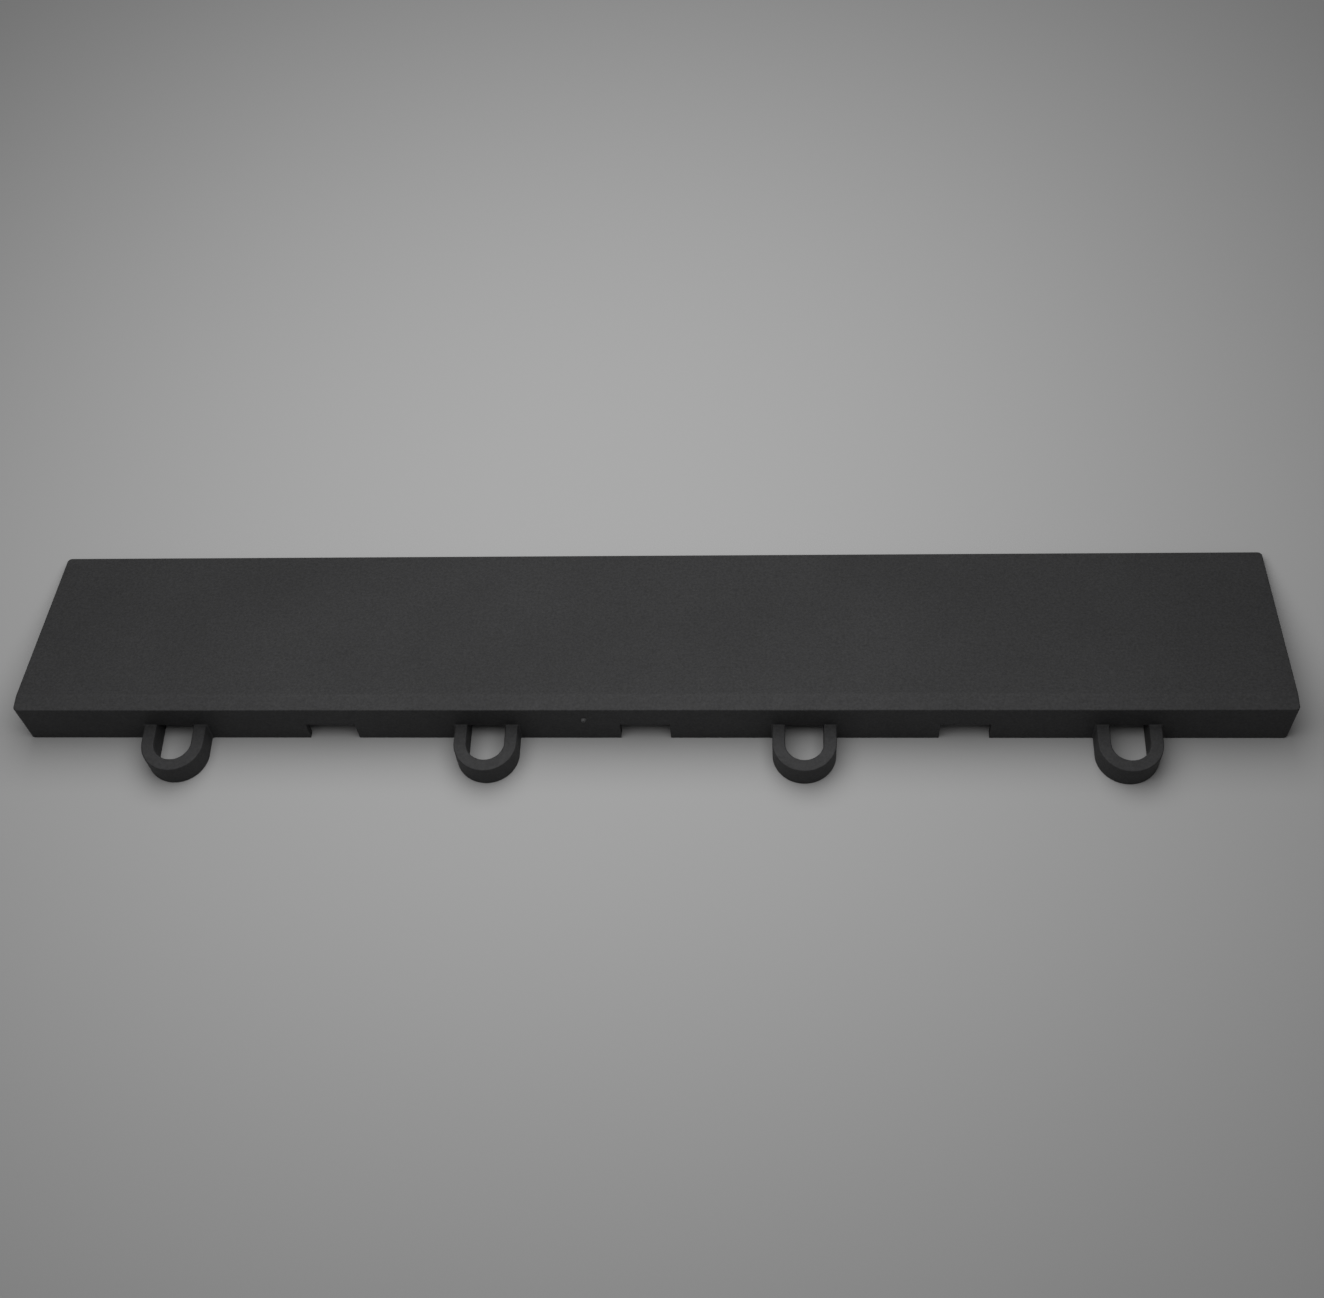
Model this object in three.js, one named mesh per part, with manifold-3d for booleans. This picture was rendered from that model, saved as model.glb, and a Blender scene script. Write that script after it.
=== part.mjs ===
// Edge ramp for click-together floor tiles: a wedge one tile long, from the tile's surface to the floor.
// It is one hollow moulding, built here feature by feature. The features meet face to face.
// X runs along the tile's edge, Y from the tile towards the toe, and Z is up. Millimetres.
// The origin is on the floor, at the middle of the footprint with the loops included.

import * as THREE from 'three';
import { mergeVertices } from 'three/addons/utils/BufferGeometryUtils.js';
import Module from 'manifold-3d';

const wasm = await Module();
wasm.setup();

// Driving dimensions of the wedge
const LENGTH = 400;        // as long as one tile
const HEIGHT = 18;         // as high as one tile
const DEPTH = 68;          // tile side to toe, without the loops
const BAND = 5.5;          // level strip along the tile side, before the slope starts
const FALL = 1 / 4;        // slope of the ramp, height lost for each millimetre of depth
const SKIN = 2.5;          // deck thickness, measured upright
const WALL = 2.5;          // thickness of the tile-side wall and of the end walls
const TOE_DEPTH = 5;       // solid strip at the thin end
const CORNER_R = 1.5;      // corners of the footprint
const ARRIS_R = 1 / 2;     // top edge above the tile side

// Coupling loops, which a neighbouring tile's pegs drop into
const PITCH = 100;         // between loops, and between notches
const LOOPS = 4;
const LOOP_REACH = 16.25;  // how far a loop stands out from the tile side
const LOOP_R = 10;         // outside of the rounded end
const EYE_R = 6;           // inside of the rounded end
const LOOP_HEIGHT = 8.75;  // height of the loops, and of the openings in the wall

// Notches in the foot of the tile-side wall, halfway between the loops
const NOTCHES = 3;
const NOTCH_WIDTH = 15.75;

// Ribs under the deck
const RIB = 1.5;           // thickness of every rib
const CROSS_PITCH = 25;    // between the ribs that run from the wall to the toe
const CROSS_RIBS = 16;
const FIRST_LENGTH_RIB = 14;  // from the tile side to the first rib that runs along the ramp
const LENGTH_PITCH = 16;
const LENGTH_RIBS = 3;
const LAP = 2.5;           // at a crossing the length rib has this height, the cross rib the rest

const ARC_STEPS = 20;      // steps in each rounded corner or end
const BLACK = 0x272728;
const ROUGHNESS = 0.62;

const toeStart = DEPTH - TOE_DEPTH;
const deckTop = (y) => HEIGHT - FALL * Math.max(0, y - BAND);
const deckUnderside = (y) => deckTop(y) - SKIN;
const spread = (count, pitch) => Array.from({ length: count }, (_, i) => (i - (count - 1) / 2) * pitch);
const lengthRibPlaces = Array.from({ length: LENGTH_RIBS }, (_, i) => FIRST_LENGTH_RIB + i * LENGTH_PITCH);

const ramp = new THREE.Group();
ramp.name = 'edge_ramp';
ramp.position.y = (LOOP_REACH - DEPTH) / 2;

function add(name, geometry, x = 0, y = 0) {
  const material = new THREE.MeshStandardMaterial({ color: BLACK, roughness: ROUGHNESS, metalness: 0 });
  const mesh = new THREE.Mesh(geometry, material);
  mesh.name = name;
  mesh.position.set(x, y, 0);
  ramp.add(mesh);
}

function outline(points) {
  return new THREE.Shape(points.map(([a, b]) => new THREE.Vector2(a, b)));
}

function extrude(shape, depth) {
  return new THREE.ExtrudeGeometry(shape, { depth, bevelEnabled: false, curveSegments: ARC_STEPS });
}

// A section drawn in Y and Z, drawn out along X and centred on X = 0.
function alongX(section, length) {
  const axes = new THREE.Matrix4().makeBasis(
    new THREE.Vector3(0, 1, 0), new THREE.Vector3(0, 0, 1), new THREE.Vector3(1, 0, 0));
  return extrude(section, length).applyMatrix4(axes).translate(-length / 2, 0, 0);
}

// An elevation drawn in X and Z, with its outer face at Y = 0 and its thickness behind that.
function behindTileSide(elevation, thickness) {
  return extrude(elevation, thickness).rotateX(Math.PI / 2).translate(0, thickness, 0);
}

function solid(geometry) {
  const bare = geometry.clone().deleteAttribute('normal').deleteAttribute('uv');
  const merged = mergeVertices(bare);
  const vertProperties = new Float32Array(merged.attributes.position.array);
  const triVerts = new Uint32Array(merged.index.array);
  return new wasm.Manifold(new wasm.Mesh({ numProp: 3, vertProperties, triVerts }));
}

function geometryOf(manifold) {
  const { vertProperties, triVerts } = manifold.getMesh();
  const geometry = new THREE.BufferGeometry();
  geometry.setAttribute('position', new THREE.BufferAttribute(vertProperties, 3));
  geometry.setIndex(new THREE.BufferAttribute(triVerts, 1));
  return geometry;
}

const common = (a, b) => geometryOf(solid(a).intersect(solid(b)));

// The footprint of the wedge with its rounded corners, as a tall prism that trims the outer features.
function footprint() {
  const half = LENGTH / 2;
  const r = CORNER_R;
  const shape = new THREE.Shape();
  shape.moveTo(-half + r, 0);
  shape.lineTo(half - r, 0);
  shape.absarc(half - r, r, r, -Math.PI / 2, 0);
  shape.lineTo(half, DEPTH - r);
  shape.absarc(half - r, DEPTH - r, r, 0, Math.PI / 2);
  shape.lineTo(-half + r, DEPTH);
  shape.absarc(-half + r, DEPTH - r, r, Math.PI / 2, Math.PI);
  shape.lineTo(-half, r);
  shape.absarc(-half + r, r, r, Math.PI, 1.5 * Math.PI);
  return extrude(shape, HEIGHT);
}

// The level strip of the deck, rounded where it turns down into the tile side.
function levelBand() {
  const section = new THREE.Shape();
  section.moveTo(0, HEIGHT - SKIN);
  section.lineTo(BAND, HEIGHT - SKIN);
  section.lineTo(BAND, HEIGHT);
  section.lineTo(ARRIS_R, HEIGHT);
  section.absarc(ARRIS_R, HEIGHT - ARRIS_R, ARRIS_R, Math.PI / 2, Math.PI);
  return common(alongX(section, LENGTH), footprint());
}

// The sloping sheet behind the level strip, which is walked and rolled over.
function rampDeck() {
  const section = outline([
    [BAND, HEIGHT - SKIN], [toeStart, deckUnderside(toeStart)], [toeStart, deckTop(toeStart)], [BAND, HEIGHT]]);
  return alongX(section, LENGTH);
}

// Width of each opening in the foot of the wall, keyed by the place of its middle, from left to right.
function wallOpenings() {
  const forLoops = spread(LOOPS, PITCH).map((x) => [x, 2 * LOOP_R]);
  const forNotches = spread(NOTCHES, PITCH).map((x) => [x, NOTCH_WIDTH]);
  return [...forLoops, ...forNotches].sort((a, b) => a[0] - b[0]);
}

function tileSideWall() {
  const half = LENGTH / 2;
  const foot = wallOpenings().flatMap(([x, width]) => [
    [x - width / 2, 0], [x - width / 2, LOOP_HEIGHT], [x + width / 2, LOOP_HEIGHT], [x + width / 2, 0]]);
  const top = HEIGHT - SKIN;
  const elevation = outline([[-half, 0], ...foot, [half, 0], [half, top], [-half, top]]);
  return common(behindTileSide(elevation, WALL), footprint());
}

// The wedge-shaped space between the wall, the deck and the toe, filled to a thickness along X.
function wedge(thickness) {
  const section = outline([
    [WALL, 0], [toeStart, 0], [toeStart, deckUnderside(toeStart)], [BAND, HEIGHT - SKIN], [WALL, HEIGHT - SKIN]]);
  return alongX(section, thickness);
}

function toeStrip() {
  const section = outline([
    [toeStart, 0], [DEPTH, 0], [DEPTH, deckTop(DEPTH)], [toeStart, deckTop(toeStart)]]);
  return common(alongX(section, LENGTH), footprint());
}

// A loop is a U in plan, open at the tile side, where its roots carry on under the wall.
function couplingLoop() {
  const bend = LOOP_R - LOOP_REACH;
  const shape = new THREE.Shape();
  shape.moveTo(-LOOP_R, 0);
  shape.lineTo(-LOOP_R, bend);
  shape.absarc(0, bend, LOOP_R, Math.PI, 2 * Math.PI);
  shape.lineTo(LOOP_R, 0);
  shape.lineTo(EYE_R, 0);
  shape.lineTo(EYE_R, bend);
  shape.absarc(0, bend, EYE_R, 2 * Math.PI, Math.PI, true);
  shape.lineTo(-EYE_R, 0);
  return extrude(shape, LOOP_HEIGHT);
}

function loopRoot() {
  const width = LOOP_R - EYE_R;
  return new THREE.BoxGeometry(width, FIRST_LENGTH_RIB, LOOP_HEIGHT)
    .translate(0, FIRST_LENGTH_RIB / 2, LOOP_HEIGHT / 2);
}

// A rib from wall to toe. It steps up over each length rib that crosses its foot.
function crossRib() {
  const lap = () => new THREE.BoxGeometry(RIB, RIB, LAP).translate(0, RIB / 2, LAP / 2);
  const laps = lengthRibPlaces.map((y) => solid(lap().translate(0, y, 0)));
  return geometryOf(laps.reduce((rib, cut) => rib.subtract(cut), solid(wedge(RIB))));
}

// A rib along the ramp, slotted from above so that the cross ribs pass through it.
function lengthRib(y) {
  const section = outline([[0, 0], [RIB, 0], [RIB, deckUnderside(y + RIB)], [0, deckUnderside(y)]]);
  const bar = solid(alongX(section, LENGTH - 2 * WALL));
  const slotHeight = HEIGHT - LAP;
  const slots = spread(CROSS_RIBS, CROSS_PITCH).map((x) => solid(
    new THREE.BoxGeometry(RIB, RIB, slotHeight).translate(x, RIB / 2, LAP + slotHeight / 2)));
  return geometryOf(slots.reduce((rib, slot) => rib.subtract(slot), bar));
}

add('level_band', levelBand());
add('ramp_deck', rampDeck());
add('tile_side_wall', tileSideWall());
add('toe_strip', toeStrip());
add('end_wall_left', wedge(WALL), -(LENGTH - WALL) / 2);
add('end_wall_right', wedge(WALL), (LENGTH - WALL) / 2);

spread(LOOPS, PITCH).forEach((x, i) => {
  const rootOffset = (LOOP_R + EYE_R) / 2;
  add(`coupling_loop_${i + 1}`, couplingLoop(), x);
  add(`loop_root_${i + 1}_left`, loopRoot(), x - rootOffset);
  add(`loop_root_${i + 1}_right`, loopRoot(), x + rootOffset);
});

spread(CROSS_RIBS, CROSS_PITCH).forEach((x, i) => {
  add(`cross_rib_${String(i + 1).padStart(2, '0')}`, crossRib(), x);
});

lengthRibPlaces.forEach((y, i) => add(`length_rib_${i + 1}`, lengthRib(y), 0, y));

export default ramp;
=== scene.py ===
import math

import bmesh
import bpy
from mathutils import Matrix, Vector


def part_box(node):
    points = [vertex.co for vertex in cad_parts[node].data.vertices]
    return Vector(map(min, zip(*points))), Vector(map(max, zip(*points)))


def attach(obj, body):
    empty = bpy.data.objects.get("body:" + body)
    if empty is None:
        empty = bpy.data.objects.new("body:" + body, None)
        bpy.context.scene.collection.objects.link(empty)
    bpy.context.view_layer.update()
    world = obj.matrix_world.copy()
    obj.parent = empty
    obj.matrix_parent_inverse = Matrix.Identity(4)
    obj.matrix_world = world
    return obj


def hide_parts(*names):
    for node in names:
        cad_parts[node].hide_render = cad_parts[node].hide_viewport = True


# Edge ramp for click-together floor tiles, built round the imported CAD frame. Metres.
# X runs along the tile's edge, Y from the tile towards the toe, and Z is up.
# The real object is one black moulding. Each piece here is one of its features, with rounded edges
# and a fine grain.

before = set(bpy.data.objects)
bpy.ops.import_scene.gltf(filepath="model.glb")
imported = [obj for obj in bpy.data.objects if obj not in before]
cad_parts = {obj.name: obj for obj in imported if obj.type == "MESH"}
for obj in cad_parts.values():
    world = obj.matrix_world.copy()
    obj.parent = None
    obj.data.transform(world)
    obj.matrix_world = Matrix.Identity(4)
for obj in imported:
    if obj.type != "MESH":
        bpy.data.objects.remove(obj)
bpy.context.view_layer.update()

MM = 0.001

# Sizes and places read off the CAD nodes
band_low, band_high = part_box("level_band")
wall_low, wall_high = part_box("tile_side_wall")
toe_low, toe_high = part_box("toe_strip")
loop_low, loop_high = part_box("coupling_loop_1")
root_low, root_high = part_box("loop_root_1_left")

HALF = band_high.x                      # half the length
TOP = band_high.z                       # height of the level band
TILE_SIDE = band_low.y                  # upright face that the tile stands against
BEND = band_high.y                      # where the level band meets the slope
TOE_START = toe_low.y
TOE_END = toe_high.y
FALL = (TOP - toe_high.z) / (TOE_START - BEND)
SKIN = TOP - wall_high.z                # thickness of the deck, measured upright
WALL = wall_high.y - wall_low.y
LOOP_HEIGHT = loop_high.z
LOOP_R = (loop_high.x - loop_low.x) / 2
LOOP_MIDDLE = loop_low.y + LOOP_R       # where the straight arms run into the round end
BAR = root_high.x - root_low.x          # width of the bar that a loop is made of
ROOT_END = root_high.y

# Roundings and other details that are too fine for the CAD model
BEND_R = 10 * MM                        # of the deck where the slope starts
CORNER_R = 1.5 * MM                     # of the footprint
TILE_SIDE_ROUNDING = 0.4 * MM           # of the top edge, at the tile side
TOE_ROUNDING = 0.6 * MM                 # of the top edge, at the toe
INNER_CORNER_R = 1.0 * MM
INNER_ROUNDING = 0.7 * MM               # between the deck and the walls, underneath
INNER_TOE_ROUNDING = 0.4 * MM
EDGE_ROUNDING = 0.15 * MM               # of the foot and of the openings
EDGE_ANGLE = math.radians(40)           # edges that turn by more than this get that rounding
EDGE_STEPS = 3
BAR_ROUNDING = 0.4 * MM                 # of a loop's upper edges
BAR_FOOT_ROUNDING = 0.2 * MM            # of a loop's lower edges
WELD_R = 0.5 * MM                       # of the hollow corner where a loop or a rib runs into a wall
WELD_TURN = math.radians(80)            # how far that corner turns before it reaches the wall
TUCK = 0.05 * MM                        # how far the corner carries on, inside the wall
LAP = 0.8 * MM                          # how far a feature reaches into its neighbour
RIB_FOOT = 1.3 * MM                     # thickness of a rib at the floor
RIB_HEAD = 1.7 * MM                     # thickness of a rib at the deck
RIB_FOOT_R = 0.3 * MM
RIB_HEAD_R = 0.6 * MM                   # hollow corner along a rib's head
RIB_HEAD_SHARE = 0.4                    # of a low rib's height, which that corner can't pass
RIB_TONGUE = 0.4 * RIB_HEAD             # half the thickness of the part of a rib inside the deck
CURVE_STEPS = 6                         # steps in each small rounding
LOOP_STEPS = 48                         # steps round a loop's end
SLOPE_ROWS = 10                         # rows of vertices down the slope
SAME = 0.01 * MM                        # heights closer than this are one height
LARGE_FACES_LEAD = 100                  # weight that lets the large faces set the shading of an edge

# The feet stand a hair above the shell's foot, each kind at its own height, so that no two faces
# lie in one plane where the features run into each other.
LOOP_FOOT = 0.05 * MM
CROSS_RIB_FOOT = 0.10 * MM
LENGTH_RIB_FOOT = 0.15 * MM


# Camera

CAMERA_PLACE = Vector((0.04486, -0.31458, 0.53986))
CAMERA_PITCH = math.radians(59.02)      # below the horizon
CAMERA_YAW = math.radians(7.25)         # to the left of straight ahead
CAMERA_ROLL = math.radians(-6.37)
CAMERA_LENS = 52.5                      # focal length in millimetres
CAMERA_SENSOR = 36                      # width in millimetres
CAMERA_NEAREST = 0.01                   # nothing closer than this is drawn


def make_camera():
    data = bpy.data.cameras.new("camera")
    data.sensor_width = CAMERA_SENSOR
    data.lens = CAMERA_LENS
    data.clip_start = CAMERA_NEAREST
    camera = bpy.data.objects.new("camera", data)
    bpy.context.scene.collection.objects.link(camera)
    tilt = Matrix.Rotation(math.pi / 2 - CAMERA_PITCH, 4, "X")
    turn = Matrix.Rotation(CAMERA_YAW, 4, "Z")
    roll = Matrix.Rotation(CAMERA_ROLL, 4, "Z")
    camera.matrix_world = Matrix.Translation(CAMERA_PLACE) @ turn @ tilt @ roll
    bpy.context.scene.camera = camera


# The section of the ramp

bend_angle = math.atan(FALL)
bend_start = BEND - BEND_R * math.tan(bend_angle / 2)
bend_end = bend_start + BEND_R * math.sin(bend_angle)


def top(y):
    """Height of the deck's upper surface: level, then a short arc, then the slope."""
    if y <= bend_start:
        return TOP
    if y >= bend_end:
        return TOP - FALL * (y - BEND)
    return TOP - BEND_R + math.sqrt(BEND_R ** 2 - (y - bend_start) ** 2)


def underside(y):
    return top(y) - SKIN


def depth_rows():
    """Depths at which the shell has a row of vertices: close together round the bend, then even."""
    bend = [bend_start + (bend_end - bend_start) * i / CURVE_STEPS for i in range(CURVE_STEPS + 1)]
    reach = TOE_START - INNER_CORNER_R - bend_end
    return bend + [bend_end + reach * i / (SLOPE_ROWS + 1) for i in range(1, SLOPE_ROWS + 1)]


def eased(y, at_tile_side, at_toe):
    """A rounding that changes evenly from the tile side to the toe."""
    share = (y - TILE_SIDE) / (TOE_END - TILE_SIDE)
    return at_tile_side + (at_toe - at_tile_side) * share


def arc(middle_a, middle_b, radius, first_degrees):
    """Points of a quarter turn, ends included."""
    angles = [math.radians(first_degrees + 90 * i / CURVE_STEPS) for i in range(CURVE_STEPS + 1)]
    return [(middle_a + radius * math.cos(t), middle_b + radius * math.sin(t)) for t in angles]


# Mesh helpers

def new_piece(name, mesh_maker, *replaced):
    """A smooth-shaded piece on the root body, which stands for the CAD nodes named."""
    bm = bmesh.new()
    mesh_maker(bm)
    bmesh.ops.recalc_face_normals(bm, faces=bm.faces)
    data = bpy.data.meshes.new(name)
    bm.to_mesh(data)
    bm.free()
    data.shade_smooth()
    piece = bpy.data.objects.new(name, data)
    bpy.context.scene.collection.objects.link(piece)
    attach(piece, "root")
    if replaced:
        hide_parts(*replaced)
    return piece


def bridge(bm, ring_a, ring_b, closed=True, skip=()):
    """Quads between two matching rings of vertices."""
    count = len(ring_a)
    for i in range(count if closed else count - 1):
        if i not in skip:
            j = (i + 1) % count
            bm.faces.new((ring_a[i], ring_a[j], ring_b[j], ring_b[i]))


def sweep(bm, stations):
    """A closed solid through a run of matching sections, each a list of points."""
    rings = [[bm.verts.new(point) for point in section] for section in stations]
    for ring_a, ring_b in zip(rings, rings[1:]):
        bridge(bm, ring_a, ring_b)
    bm.faces.new(rings[0])
    bm.faces.new(rings[-1])


def even_shading(piece):
    """Keeps the large faces flat in shading, so that only the roundings shade as round."""
    modifier = piece.modifiers.new("even_shading", "WEIGHTED_NORMAL")
    modifier.keep_sharp = True
    modifier.weight = LARGE_FACES_LEAD


# The shell: deck, tile-side wall, end walls and toe in one skin of even thickness

def loop_middles():
    """Places of the loops along X, from left to right."""
    boxes = [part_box(node) for node in sorted(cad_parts) if node.startswith("coupling_loop_")]
    return [(low.x + high.x) / 2 for low, high in boxes]


def wall_openings():
    """The openings in the foot of the tile-side wall, as (left, right, height), from left to right.

    A loop's opening is a little narrower and lower than the loop, so that the bar runs into the wall."""
    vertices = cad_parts["tile_side_wall"].data.vertices
    edges = sorted({round(v.co.x, 6) for v in vertices if abs(v.co.z - LOOP_HEIGHT) < SAME})
    openings = []
    for left, right in zip(edges[0::2], edges[1::2]):
        if any(left < middle < right for middle in loop_middles()):
            openings.append((left + LAP, right - LAP, LOOP_HEIGHT - BAR_ROUNDING))
        else:
            openings.append((left, right, LOOP_HEIGHT))
    return openings


OPENINGS = wall_openings()


def footprint(half, front, back, radius):
    """Points round a rectangle with rounded corners, each with its outward direction.

    They run anticlockwise from the front left, with a point at each side of each wall opening."""
    columns = [-half + radius, *(x for left, right, _ in OPENINGS for x in (left, right)), half - radius]
    rows = depth_rows()

    def corner(x, y, first_degrees):
        spots = arc(x, y, radius, first_degrees)
        ways = arc(0, 0, 1, first_degrees)
        return [(a, b, u, v) for (a, b), (u, v) in zip(spots, ways)]

    points = [(x, front, 0, -1) for x in columns]
    points += corner(half - radius, front + radius, -90)[1:]
    points += [(half, y, 1, 0) for y in rows]
    points += corner(half - radius, back - radius, 0)[:-1]
    points += [(x, back, 0, 1) for x in reversed(columns)]
    points += corner(-half + radius, back - radius, 90)[1:]
    points += [(-half, y, -1, 0) for y in reversed(rows)]
    points += corner(-half + radius, front + radius, 180)[:-1]
    return points


def skin_rings(bm, outline, surface, rounding):
    """Rings of vertices up one side of the shell: foot, head of the openings, then the rounded edge."""
    heads = [LOOP_HEIGHT, *(h for _, _, h in OPENINGS for _ in range(2)), LOOP_HEIGHT]
    foot = [bm.verts.new((x, y, 0)) for x, y, _, _ in outline]
    middle = []
    for i, (x, y, _, _) in enumerate(outline):
        z = heads[i] if i < len(heads) else (surface(y) - rounding(y)) / 2
        middle.append(bm.verts.new((x, y, z)))
    rings = [foot, middle]
    for step in range(CURVE_STEPS + 1):
        angle = math.pi / 2 * step / CURVE_STEPS
        ring = []
        for x, y, u, v in outline:
            radius = rounding(y)
            inset = radius * (1 - math.cos(angle))
            drop = radius * (1 - math.sin(angle))
            inner_y = y - v * inset
            ring.append(bm.verts.new((x - u * inset, inner_y, surface(inner_y) - drop)))
        rings.append(ring)
    return rings


def crown(bm, ring, surface):
    """Fills the last ring with a grid of rows that run from end to end.

    The ring runs along the front, up the right end, along the back and down the left end."""
    columns = 2 * len(OPENINGS) + 2
    sides = len(ring) // 2 - columns
    front = ring[:columns]
    right = ring[columns:columns + sides]
    back = ring[2 * columns + sides - 1:columns + sides - 1:-1]
    left = ring[:2 * columns + sides - 1:-1]
    places = [v.co.x for v in front]
    rows = []
    for a, b in zip(left, right):
        inner = [bm.verts.new((x, a.co.y, surface(a.co.y))) for x in places]
        rows.append([a, *inner, b])
    for row_a, row_b in zip(rows, rows[1:]):
        bridge(bm, row_a, row_b, closed=False)
    for edge, row in ((front, rows[0]), (back, rows[-1])):
        bridge(bm, edge, row[1:-1], closed=False)
        bm.faces.new((edge[0], row[0], row[1]))
        bm.faces.new((edge[-1], row[-2], row[-1]))


def shell_mesh(bm):
    outside = skin_rings(
        bm, footprint(HALF, TILE_SIDE, TOE_END, CORNER_R), top,
        lambda y: eased(y, TILE_SIDE_ROUNDING, TOE_ROUNDING))
    inside = skin_rings(
        bm, footprint(HALF - WALL, TILE_SIDE + WALL, TOE_START, INNER_CORNER_R), underside,
        lambda y: eased(y, INNER_ROUNDING, INNER_TOE_ROUNDING))
    open_steps = [1 + 2 * i for i in range(len(OPENINGS))]    # steps of the outline across an opening
    for rings, surface in ((outside, top), (inside, underside)):
        bridge(bm, rings[0], rings[1], skip=open_steps)
        for ring_a, ring_b in zip(rings[1:], rings[2:]):
            bridge(bm, ring_a, ring_b)
        crown(bm, rings[-1], surface)
    bridge(bm, outside[0], inside[0], skip=open_steps)
    for i in open_steps:
        bm.faces.new((outside[1][i], outside[1][i + 1], inside[1][i + 1], inside[1][i]))
        for cheek in (i, i + 1):
            bm.faces.new((outside[0][cheek], outside[1][cheek], inside[1][cheek], inside[0][cheek]))


def make_shell():
    shell = new_piece(
        "ramp_shell", shell_mesh,
        "level_band", "ramp_deck", "tile_side_wall", "toe_strip", "end_wall_left", "end_wall_right")
    rounding = shell.modifiers.new("rounded_edges", "BEVEL")
    rounding.limit_method = "ANGLE"
    rounding.angle_limit = EDGE_ANGLE
    rounding.width = EDGE_ROUNDING
    rounding.segments = EDGE_STEPS
    even_shading(shell)
    return shell


# Hollow corners, where a loop or a rib runs into a wall

def weld(distance):
    """How far a feature is swollen at a distance from the wall, negative inside it.

    The hollow corner is an arc that stops just short of lying flat on the wall, then runs straight in."""
    if distance < 0:
        return weld(0) - distance * math.tan(WELD_TURN)
    reach = WELD_R * math.sin(WELD_TURN)
    if distance >= reach:
        return 0
    return WELD_R - math.sqrt(WELD_R ** 2 - (reach - distance) ** 2)


def weld_rows():
    """Distances from the wall at which a hollow corner has a row of vertices, from the wall outwards."""
    turns = [WELD_TURN * i / CURVE_STEPS for i in range(CURVE_STEPS, -1, -1)]
    return [-TUCK, *(WELD_R * (math.sin(WELD_TURN) - math.sin(turn)) for turn in turns)]


# The loops: a rounded bar bent into a U, which carries on under the deck to the first rib

def bar_section(swell):
    """The bar's section as (outwards, up), thickened by swell on its outer side and its top."""
    half = BAR / 2
    r = BAR_ROUNDING
    foot_r = BAR_FOOT_ROUNDING
    outer = half + swell
    crest = LOOP_HEIGHT + swell
    return [*arc(outer - foot_r, LOOP_FOOT + foot_r, foot_r, -90), *arc(outer - r, crest - r, r, 0),
            *arc(-half + r, crest - r, r, 90), *arc(-half + foot_r, LOOP_FOOT + foot_r, foot_r, 180)]


def arm_rows():
    """Places along an arm as (depth, swell), from its root to the start of the round end."""
    inner_face = TILE_SIDE + WALL
    outwards = [(d, weld(d)) for d in weld_rows()]
    root = [(ROOT_END - d, swell) for d, swell in outwards]
    behind = [(inner_face + d, swell) for d, swell in reversed(outwards)]
    within = [(inner_face - 2 * TUCK, 0), (TILE_SIDE + 2 * TUCK, 0)]
    before = [(TILE_SIDE - d, swell) for d, swell in outwards]
    return [*root, *behind, *within, *before, (LOOP_MIDDLE, 0)]


def loop_mesh(bm, middle):
    radius = LOOP_R - BAR / 2
    path = [(-radius, y, -1, 0, swell) for y, swell in arm_rows()]
    for i in range(1, LOOP_STEPS):
        angle = math.pi * (1 + i / LOOP_STEPS)
        u, v = math.cos(angle), math.sin(angle)
        path.append((radius * u, LOOP_MIDDLE + radius * v, u, v, 0))
    path += [(radius, y, 1, 0, swell) for y, swell in reversed(arm_rows())]
    stations = []
    for x, y, u, v, swell in path:
        stations.append([(middle + x + u * out, y + v * out, up) for out, up in bar_section(swell)])
    sweep(bm, stations)


def make_loops():
    loops = []
    for number, middle in enumerate(loop_middles(), 1):
        loop = new_piece(
            f"moulded_loop_{number}", lambda bm: loop_mesh(bm, middle),
            f"coupling_loop_{number}", f"loop_root_{number}_left", f"loop_root_{number}_right")
        even_shading(loop)
        loops.append(loop)
    return loops


# The ribs: thin at the foot, thicker at the deck, and running into it with a hollow corner

def rib_side(ceiling, foot, swell, hand):
    """One side of a rib's section as (across, up), from the foot to just inside the deck.

    ceiling gives the height of the deck's underside at an offset across the rib, and hand is 1 or -1."""
    side = arc(RIB_FOOT / 2 - RIB_FOOT_R, foot + RIB_FOOT_R, RIB_FOOT_R, -90)
    root = min(RIB_HEAD_R, RIB_HEAD_SHARE * (ceiling(0) - foot))
    for i in range(CURVE_STEPS + 1):
        turn = WELD_TURN * i / CURVE_STEPS
        across = RIB_HEAD / 2 + root * (1 - math.cos(turn))
        drop = root * (math.sin(WELD_TURN) - math.sin(turn))
        side.append((across, ceiling(hand * across) - drop))
    edge = side[-1][0] + TUCK * math.tan(WELD_TURN)
    side.append((edge, ceiling(hand * edge) + TUCK))
    side.append((RIB_TONGUE, ceiling(0) + 2 * TUCK))
    return [(hand * (across + swell), up) for across, up in side]


def rib_section(ceiling, foot, swell):
    return rib_side(ceiling, foot, swell, 1) + rib_side(ceiling, foot, swell, -1)[::-1]


def rib_rows(start, end, between=()):
    """Places along a rib as (place, swell): close together at its ends, where it runs into the walls."""
    outwards = [(d, weld(d)) for d in weld_rows()]
    return [(start - LAP, 0), (start - 2 * TUCK, 0), *((start + d, swell) for d, swell in outwards),
            *((place, 0) for place in between),
            *((end - d, swell) for d, swell in reversed(outwards)), (end + 2 * TUCK, 0), (end + LAP, 0)]


def cross_rib_mesh(bm, x):
    stations = []
    for y, swell in rib_rows(TILE_SIDE + WALL, TOE_START, depth_rows()):
        section = rib_section(lambda across: underside(y), CROSS_RIB_FOOT, swell)
        stations.append([(x + across, y, up) for across, up in section])
    sweep(bm, stations)


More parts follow.
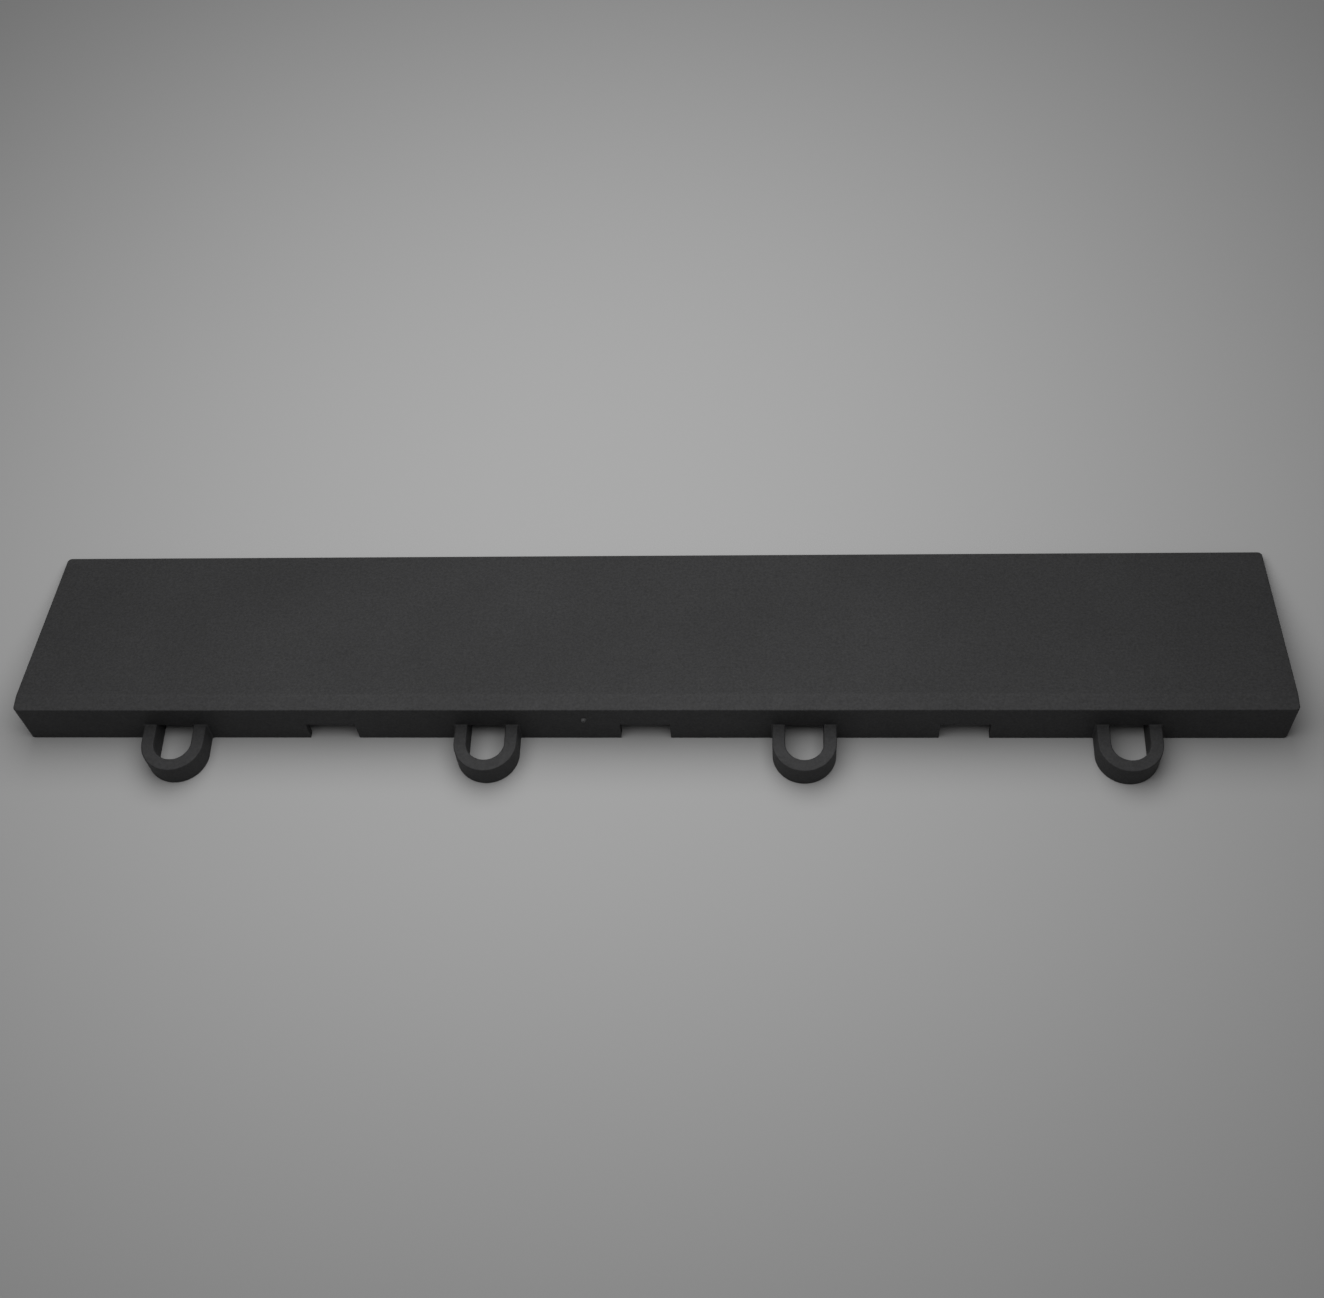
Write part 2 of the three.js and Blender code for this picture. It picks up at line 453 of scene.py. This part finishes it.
def length_rib_mesh(bm, y):
    end = HALF - WALL
    stations = []
    for x, swell in rib_rows(-end, end):
        section = rib_section(lambda across: underside(y + across), LENGTH_RIB_FOOT, swell)
        stations.append([(x, y + across, up) for across, up in section])
    sweep(bm, stations)


def make_ribs():
    ribs = []
    for node in sorted(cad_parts):
        low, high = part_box(node)
        if node.startswith("cross_rib_"):
            x = (low.x + high.x) / 2
            ribs.append(new_piece(f"moulded_{node}", lambda bm: cross_rib_mesh(bm, x), node))
        elif node.startswith("length_rib_"):
            y = (low.y + high.y) / 2
            ribs.append(new_piece(f"moulded_{node}", lambda bm: length_rib_mesh(bm, y), node))
    for rib in ribs:
        even_shading(rib)
    return ribs


# The gate mark: the small broken stub left on the tile side where the plastic came into the mould

GATE_X = -18.95 * MM                    # its place on the tile side
GATE_Z = 12.1 * MM
GATE_R = 0.7 * MM
GATE_STANDS = 0.75 * MM                 # how far it stands out from the tile side
GATE_RIM = 0.35 * GATE_R                # rounding of its rim
GATE_DISH = 0.2 * MM                    # depth of the hollow in its end
GATE_DISH_SHARE = 0.98                  # of the way to the rim, so that the two share no point
GATE_ROOT = 0.2 * MM                    # hollow corner at its foot
GATE_TAIL = 4 * TUCK                    # how far it carries on, inside the wall
GATE_STEPS = 48                         # steps round it


def gate_mesh(bm):
    """A turned solid that stands on the wall: hollow end, rounded rim, short side and flared foot."""
    dish_r = (GATE_R - GATE_RIM) * GATE_DISH_SHARE
    profile = []
    for i in range(1, CURVE_STEPS + 1):
        angle = math.pi / 2 * i / CURVE_STEPS
        profile.append((dish_r * math.sin(angle), GATE_STANDS - GATE_DISH * math.cos(angle)))
    profile += reversed(arc(GATE_R - GATE_RIM, GATE_STANDS - GATE_RIM, GATE_RIM, 0))
    for i in range(CURVE_STEPS + 1):
        turn = WELD_TURN * i / CURVE_STEPS
        profile.append((GATE_R + GATE_ROOT * (1 - math.cos(turn)),
                        GATE_ROOT * (math.sin(WELD_TURN) - math.sin(turn))))
    profile.append((GATE_R + GATE_ROOT + TUCK, -TUCK))
    profile.append((GATE_R / 2, -GATE_TAIL))
    angles = [2 * math.pi * i / GATE_STEPS for i in range(GATE_STEPS)]
    rings = []
    for radius, proud in profile:
        circle = [(radius * math.cos(t), radius * math.sin(t)) for t in angles]
        rings.append([(GATE_X + across, TILE_SIDE - proud, GATE_Z + up) for across, up in circle])
    sweep(bm, rings)


# Materials

MOULDING_SHADE = 0.027                  # how much light the black plastic gives back
MOULDING_TINT = (1.0, 1.0, 1.03)        # share of the shade in red, green and blue
GATE_SHADE = 0.09                       # paler, where the stub was broken off
GATE_TINT = (1.0, 1.0, 1.02)
PLASTIC_GLOSS = 0.3                     # specular level
ROUGHNESS = (0.65, 0.73)                # from place to place

# Noise textures, in cycles for each metre
MOTTLING_SCALE = 22
SCUFF_SCALE = 140
GRAIN_SCALE = 1300
SPECK_SCALE = 2200

# Ranges of values, as (first, last)
NOISE_CORE = (0.3, 0.7)                 # where nearly all of a noise's values lie
SPECK_PEAKS = (0.79, 0.84)              # the few values that make specks of dust
WEAR_AND_HIGHLIGHT_PATCHES = (0.4, 0.65)              # values of the scuffs from weaker to stronger wear and painted highlight
NONE_TO_ALL = (0.0, 1.0)
MOTTLING = (0.9, 1.1)                   # factors on the shade
GRAIN = (0.66, 1.34)
WEAR_AND_HIGHLIGHT_FACTORS = (0.3, 1.0)

SPECK_LIFT = 0.3                        # in shades, added at a speck
WEAR_AND_HIGHLIGHT_LIFT = 0.18                        # in shades, added as wear on the edges and as painted highlight on the edges and along the bend
WEAR_POLISH = -0.08                     # change of roughness there
GRAIN_BUMP = 0.7
GRAIN_DEPTH = 0.05 * MM

EDGE_WEAR_AND_HIGHLIGHT_R = 0.5 * MM                  # how far from an edge the wear and painted highlight are looked for
EDGE_WEAR_AND_HIGHLIGHT_SAMPLES = 6
EDGE_TURN = (0.99, 0.86)                # cosine of the turn of the normal, for none and for full wear and painted highlight
# The line of the bend has a painted highlight.
BEND_HIGHLIGHT_WIDTH = (0.2 * MM, 0.8 * MM)  # from the line of the bend, where the painted highlight fades
BEND_HIGHLIGHT = (0.5, 0.0)
FACING_UP = (0.8, 0.9)                  # height of the normal, from other faces to upper faces

FLOOR_SHADE = 0.385
FLOOR_ROUGHNESS = 0.9
FLOOR_GLOSS = 0.2


def add_node(tree, kind, settings=None, **inputs):
    """A shader node with its settings, and with values for inputs that are named as in Blender."""
    node = tree.nodes.new(kind)
    for name, value in (settings or {}).items():
        setattr(node, name, value)
    for name, value in inputs.items():
        node.inputs[name.replace("_", " ")].default_value = value
    return node


def math_node(tree, operation, first, second=0):
    """A Math node whose inputs are sockets or numbers. Returns its output socket."""
    node = add_node(tree, "ShaderNodeMath", {"operation": operation})
    for socket, value in zip(node.inputs, (first, second)):
        if isinstance(value, (int, float)):
            socket.default_value = value
        else:
            tree.links.new(value, socket)
    return node.outputs[0]


def noise(tree, place, scale, detail, roughness=0.5):
    """The value of a noise texture in the object's own metres. scale is in cycles for each metre."""
    node = add_node(tree, "ShaderNodeTexNoise", Scale=scale, Detail=detail, Roughness=roughness)
    tree.links.new(place, node.inputs["Vector"])
    return node.outputs["Fac"]


def spread_to(tree, value, given, wanted):
    """Maps a socket's values from one range to another, clamped. A range is (first, last)."""
    node = add_node(
        tree, "ShaderNodeMapRange",
        From_Min=given[0], From_Max=given[1], To_Min=wanted[0], To_Max=wanted[1])
    tree.links.new(value, node.inputs["Value"])
    return node.outputs["Result"]


def edge_wear_and_highlight(tree):
    """0 on flat stretches and towards 1 on rounded edges, from how far a rounded normal turns away. It
    places the wear and the painted highlight on the edges.
    """
    rounded = add_node(tree, "ShaderNodeBevel", {"samples": EDGE_WEAR_AND_HIGHLIGHT_SAMPLES}, Radius=EDGE_WEAR_AND_HIGHLIGHT_R)
    geometry = tree.nodes.new("ShaderNodeNewGeometry")
    dot = add_node(tree, "ShaderNodeVectorMath", {"operation": "DOT_PRODUCT"})
    tree.links.new(rounded.outputs["Normal"], dot.inputs[0])
    tree.links.new(geometry.outputs["Normal"], dot.inputs[1])
    return spread_to(tree, dot.outputs["Value"], EDGE_TURN, NONE_TO_ALL)


def bend_highlight(tree, place):
    """A painted highlight: up to about a half along the line where the level band meets the slope, on
    upper faces only.
    """
    spot = tree.nodes.new("ShaderNodeSeparateXYZ")
    tree.links.new(place, spot.inputs["Vector"])
    facing = tree.nodes.new("ShaderNodeSeparateXYZ")
    tree.links.new(tree.nodes.new("ShaderNodeNewGeometry").outputs["Normal"], facing.inputs["Vector"])
    aside = math_node(tree, "ABSOLUTE", math_node(tree, "SUBTRACT", spot.outputs["Y"], BEND))
    line = spread_to(tree, aside, BEND_HIGHLIGHT_WIDTH, BEND_HIGHLIGHT)
    return math_node(tree, "MULTIPLY", line, spread_to(tree, facing.outputs["Z"], FACING_UP, NONE_TO_ALL))


def moulded_plastic(name, shade, tint):
    """Black polypropylene with fine matt grain, soft mottling, a few specks of dust, wear on the edges,
    and a painted highlight on the edges and along the bend.
    """
    material = bpy.data.materials.new(name)
    material.use_nodes = True
    tree = material.node_tree
    shader = tree.nodes["Principled BSDF"]
    shader.inputs["Specular IOR Level"].default_value = PLASTIC_GLOSS
    place = tree.nodes.new("ShaderNodeTexCoord").outputs["Object"]

    mottling = noise(tree, place, MOTTLING_SCALE, detail=4)
    grain = noise(tree, place, GRAIN_SCALE, detail=3, roughness=0.75)
    scuffs = noise(tree, place, SCUFF_SCALE, detail=6, roughness=0.7)
    specks = spread_to(tree, noise(tree, place, SPECK_SCALE, detail=0), SPECK_PEAKS, NONE_TO_ALL)
    # The line of the bend gets a painted highlight. The rounded edges get wear and a painted highlight.
    wear_and_highlight = math_node(tree, "MAXIMUM", edge_wear_and_highlight(tree), bend_highlight(tree, place))
    rubbed_and_highlight = math_node(tree, "MULTIPLY", wear_and_highlight, spread_to(tree, scuffs, WEAR_AND_HIGHLIGHT_PATCHES, WEAR_AND_HIGHLIGHT_FACTORS))

    brightness = math_node(
        tree, "MULTIPLY",
        spread_to(tree, mottling, NOISE_CORE, MOTTLING), spread_to(tree, grain, NOISE_CORE, GRAIN))
    # Lighter on the edges and along the bend: wear, and painted highlight.
    brightness = math_node(tree, "ADD", brightness, math_node(tree, "MULTIPLY", rubbed_and_highlight, WEAR_AND_HIGHLIGHT_LIFT))
    brightness = math_node(tree, "ADD", brightness, math_node(tree, "MULTIPLY", specks, SPECK_LIFT))
    colour = add_node(tree, "ShaderNodeCombineColor")
    for channel, amount in zip(("Red", "Green", "Blue"), tint):
        tree.links.new(math_node(tree, "MULTIPLY", brightness, shade * amount), colour.inputs[channel])
    tree.links.new(colour.outputs["Color"], shader.inputs["Base Color"])

    roughness = spread_to(tree, scuffs, NOISE_CORE, ROUGHNESS)
    roughness = math_node(tree, "ADD", roughness, math_node(tree, "MULTIPLY", rubbed_and_highlight, WEAR_POLISH))
    tree.links.new(roughness, shader.inputs["Roughness"])

    bump = add_node(tree, "ShaderNodeBump", Strength=GRAIN_BUMP, Distance=GRAIN_DEPTH)
    tree.links.new(grain, bump.inputs["Height"])
    tree.links.new(bump.outputs["Normal"], shader.inputs["Normal"])
    return material


def pale_floor():
    """A matt pale floor. It can't be seen from below, so that the ramp's underside can."""
    material = bpy.data.materials.new("pale_floor")
    material.use_nodes = True
    tree = material.node_tree
    shader = tree.nodes["Principled BSDF"]
    shader.inputs["Base Color"].default_value = (FLOOR_SHADE, FLOOR_SHADE, FLOOR_SHADE, 1)
    shader.inputs["Roughness"].default_value = FLOOR_ROUGHNESS
    shader.inputs["Specular IOR Level"].default_value = FLOOR_GLOSS
    clear = tree.nodes.new("ShaderNodeBsdfTransparent")
    geometry = tree.nodes.new("ShaderNodeNewGeometry")
    mix = tree.nodes.new("ShaderNodeMixShader")
    output = tree.nodes["Material Output"]
    tree.links.new(geometry.outputs["Backfacing"], mix.inputs["Fac"])
    tree.links.new(shader.outputs["BSDF"], mix.inputs[1])
    tree.links.new(clear.outputs["BSDF"], mix.inputs[2])
    tree.links.new(mix.outputs["Shader"], output.inputs["Surface"])
    return material


# Floor and light

FLOOR_HALF = 8.0                        # half the floor's width
FLOOR_DROP = 0.03 * MM                  # so that the floor and the foot of the ramp aren't in one plane
WINDOW_INSET = 0.3 * MM                 # from the edge of what stands over a window
WINDOW_MARGIN = 3.0 * MM                # from a window to an opening in the wall

# A softbox overhead, a lamp under the floor for the ramp's underside, and an even light all round.
# Places and sizes in metres, powers in watts.
KEY_PLACE = Vector((-0.025, 0.065, 0.3))
KEY_SIZE = (0.42, 0.46)
KEY_POWER = 1.33
BELOW_PLACE = Vector((0.0, 0.0, -0.2))
BELOW_SIZE = (0.5, 0.19)
BELOW_POWER = 0.4
BELOW_SPREAD = math.radians(30)
SURROUND = 0.15                         # strength of the even light
WHITE = (1, 1, 1, 1)


def windows():
    """Outlines on the floor, each wholly under the ramp and clear of the openings in its wall."""
    def rectangle(left, right, front, back):
        return [(left, front), (right, front), (right, back), (left, back)]

    front = TILE_SIDE + WINDOW_INSET
    before_roots = ROOT_END - WINDOW_INSET
    behind_roots = ROOT_END + WINDOW_INSET
    side = HALF - WINDOW_INSET
    outlines = [rectangle(-side, side, behind_roots, TOE_END - WINDOW_INSET)]

    # Between the openings in the wall
    edges = [-HALF, *(x for left, right, _ in OPENINGS for x in (left, right)), HALF]
    for left, right in zip(edges[0::2], edges[1::2]):
        outlines.append(rectangle(left + WINDOW_MARGIN, right - WINDOW_MARGIN, front, before_roots))

    # Under the loops, each a U from one root to the other
    turns = [math.pi * (1 + i / LOOP_STEPS) for i in range(LOOP_STEPS + 1)]
    outer = LOOP_R - WINDOW_INSET
    inner = LOOP_R - BAR + WINDOW_INSET
    for middle in loop_middles():
        outline = []
        for radius, angles in ((outer, turns), (inner, turns[::-1])):
            bend = [(middle + radius * math.cos(t), LOOP_MIDDLE + radius * math.sin(t)) for t in angles]
            outline += [(bend[0][0], before_roots), *bend, (bend[-1][0], before_roots)]
        outlines.append(outline)
    return outlines


def floor_sheet(name, material, mesh_maker):
    """A flat sheet that faces up."""
    bm = bmesh.new()
    mesh_maker(bm)
    bm.normal_update()
    bmesh.ops.reverse_faces(bm, faces=[face for face in bm.faces if face.normal.z < 0])
    data = bpy.data.meshes.new(name)
    bm.to_mesh(data)
    bm.free()
    data.materials.append(material)
    sheet = bpy.data.objects.new(name, data)
    bpy.context.scene.collection.objects.link(sheet)
    return sheet


def make_floor():
    """A wide floor with windows under the ramp, filled by a sheet that lets light up from below."""
    def loose(bm, outline):
        return [bm.verts.new((x, y, -FLOOR_DROP)) for x, y in outline]

    def around(bm):
        far = FLOOR_HALF
        rim = [(-far, -far), (far, -far), (far, far), (-far, far)]
        for outline in (rim, *windows()):
            ring = loose(bm, outline)
            for i, vertex in enumerate(ring):
                bm.edges.new((ring[i - 1], vertex))
        bmesh.ops.triangle_fill(bm, use_beauty=True, edges=bm.edges, normal=(0, 0, 1))

    def within(bm):
        for outline in windows():
            bm.faces.new(loose(bm, outline))

    material = pale_floor()
    floor_sheet("floor", material, around)
    floor_sheet("floor_under_ramp", material, within).visible_shadow = False


def area_light(name, place, aim, size, power):
    data = bpy.data.lights.new(name, "AREA")
    data.shape = "RECTANGLE"
    data.size, data.size_y = size
    data.energy = power
    light = bpy.data.objects.new(name, data)
    light.location = place
    light.visible_camera = False
    light.rotation_euler = (aim - place).to_track_quat("-Z", "Y").to_euler()
    bpy.context.scene.collection.objects.link(light)
    return light


def on_floor(place):
    """The spot on the floor straight below or above a place."""
    return Vector((place.x, place.y, 0))


def make_lights():
    area_light("key", KEY_PLACE, on_floor(KEY_PLACE), KEY_SIZE, KEY_POWER)
    below = area_light("below", BELOW_PLACE, on_floor(BELOW_PLACE), BELOW_SIZE, BELOW_POWER)
    below.data.spread = BELOW_SPREAD
    world = bpy.data.worlds.new("studio")
    world.use_nodes = True
    background = world.node_tree.nodes["Background"]
    background.inputs["Color"].default_value = WHITE
    background.inputs["Strength"].default_value = SURROUND
    bpy.context.scene.world = world
    bpy.context.scene.view_settings.view_transform = "Standard"


# Everything together

make_camera()
black = moulded_plastic("black_moulding", MOULDING_SHADE, MOULDING_TINT)
gate_black = moulded_plastic("gate_blush", GATE_SHADE, GATE_TINT)
for moulding in (make_shell(), *make_loops(), *make_ribs()):
    moulding.data.materials.append(black)
gate = new_piece("gate_mark", gate_mesh)
gate.data.materials.append(gate_black)
make_floor()
make_lights()
